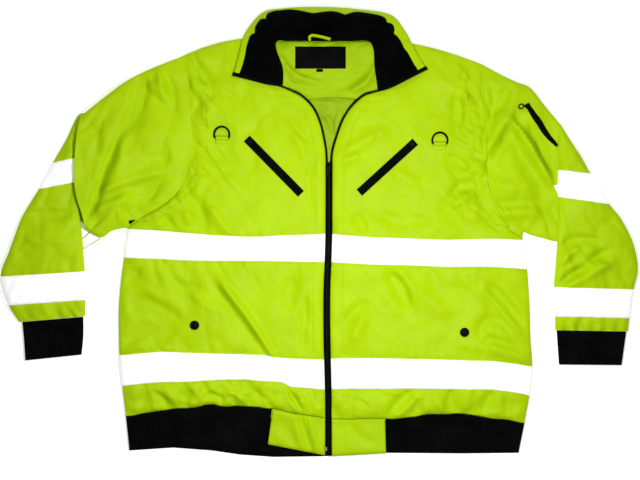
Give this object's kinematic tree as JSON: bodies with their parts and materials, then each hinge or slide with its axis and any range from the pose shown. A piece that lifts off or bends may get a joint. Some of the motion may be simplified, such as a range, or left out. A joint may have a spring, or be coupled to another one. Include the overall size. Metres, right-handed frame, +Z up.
{
  "type": "padded high-visibility work jacket lying flat",
  "caption": "Padded high-visibility zip jacket with fleece collar, reflective tape, rib cuffs and waist, laid flat on its back with the collar spread open.",
  "frame": {"origin": "on the surface that the jacket lies on, below the middle of its box", "axes": "+X to the wearer's left, +Y towards the collar, +Z up out of the surface, from the back to the fronts"},
  "size_m": [1.095, 0.7734, 0.0365],
  "materials": {
    "cloth": "coated woven cloth with a soft sheen",
    "lining": "smooth lining",
    "fleece": "short pile",
    "reflective_tape": "glass bead tape",
    "rib_knit": "rib knit",
    "zip_tape": "woven tape with coil teeth",
    "dark_woven_trim": "woven",
    "dark_metal": "semi-gloss",
    "bright_metal": "satin"
  },
  "bodies": {
    "root": {"back": "cloth", "front_right": "cloth", "front_left": "cloth", "sleeve_right": "cloth", "sleeve_left": "cloth", "collar_shell": "cloth", "pocket_welt_right": "cloth", "pocket_welt_left": "cloth", "armhole_flap_right": "cloth", "armhole_flap_left": "cloth", "hem_tab_right": "cloth", "hem_tab_left": "cloth", "back_facing": "cloth", "d_ring_loop_right": "cloth", "d_ring_loop_left": "cloth", "back_lining": "lining", "collar_fleece": "fleece", "tape_chest_right": "reflective_tape", "tape_chest_left": "reflective_tape", "tape_waist_right": "reflective_tape", "tape_waist_left": "reflective_tape", "tape_chest_back": "reflective_tape", "tape_waist_back": "reflective_tape", "tape_arm_upper_right": "reflective_tape", "tape_arm_upper_left": "reflective_tape", "tape_arm_lower_right": "reflective_tape", "tape_arm_lower_left": "reflective_tape", "tape_elbow_right": "reflective_tape", "cuff_right": "rib_knit", "cuff_left": "rib_knit", "waist_rib_back": "rib_knit", "waist_rib_right": "rib_knit", "waist_rib_left": "rib_knit", "zip_right": "zip_tape", "zip_left": "zip_tape", "chest_zip_right": "zip_tape", "chest_zip_left": "zip_tape", "sleeve_zip": "zip_tape", "armhole_zip_end": "zip_tape", "neck_label": "dark_woven_trim", "size_tab": "dark_woven_trim", "hang_loop": "cloth", "zip_slider": "dark_metal", "chest_slider_right": "dark_metal", "chest_slider_left": "dark_metal", "sleeve_slider": "dark_metal", "snap_right": "dark_metal", "snap_left": "dark_metal", "zip_retainer": "bright_metal"},
    "d_ring_right": {"d_ring_right": "dark_metal"},
    "d_ring_left": {"d_ring_left": "dark_metal"},
    "zip_pull": {"zip_pull": "dark_metal"},
    "sleeve_pull": {"sleeve_pull": "dark_metal"}
  },
  "joints": [
    {"name": "d_ring_right_swing", "type": "hinge", "parent": "root", "child": "d_ring_right", "pos_m": [-0.16605, 0.16123, 0.01874], "axis": [1, 0, 0], "range_deg": [0, 150]},
    {"name": "d_ring_left_swing", "type": "hinge", "parent": "root", "child": "d_ring_left", "pos_m": [0.20755, 0.15123, 0.01852], "axis": [1, 0, 0], "range_deg": [0, 150]},
    {"name": "zip_pull_lift", "type": "hinge", "parent": "root", "child": "zip_pull", "pos_m": [0.01755, 0.11523, 0.0166], "axis": [-1, 0, 0], "range_deg": [0, 150]},
    {"name": "sleeve_pull_lift", "type": "hinge", "parent": "root", "child": "sleeve_pull", "pos_m": [0.35815, 0.21623, 0.02321], "axis": [-0.1392, 0.9903, 0], "range_deg": [0, 150]}
  ]
}
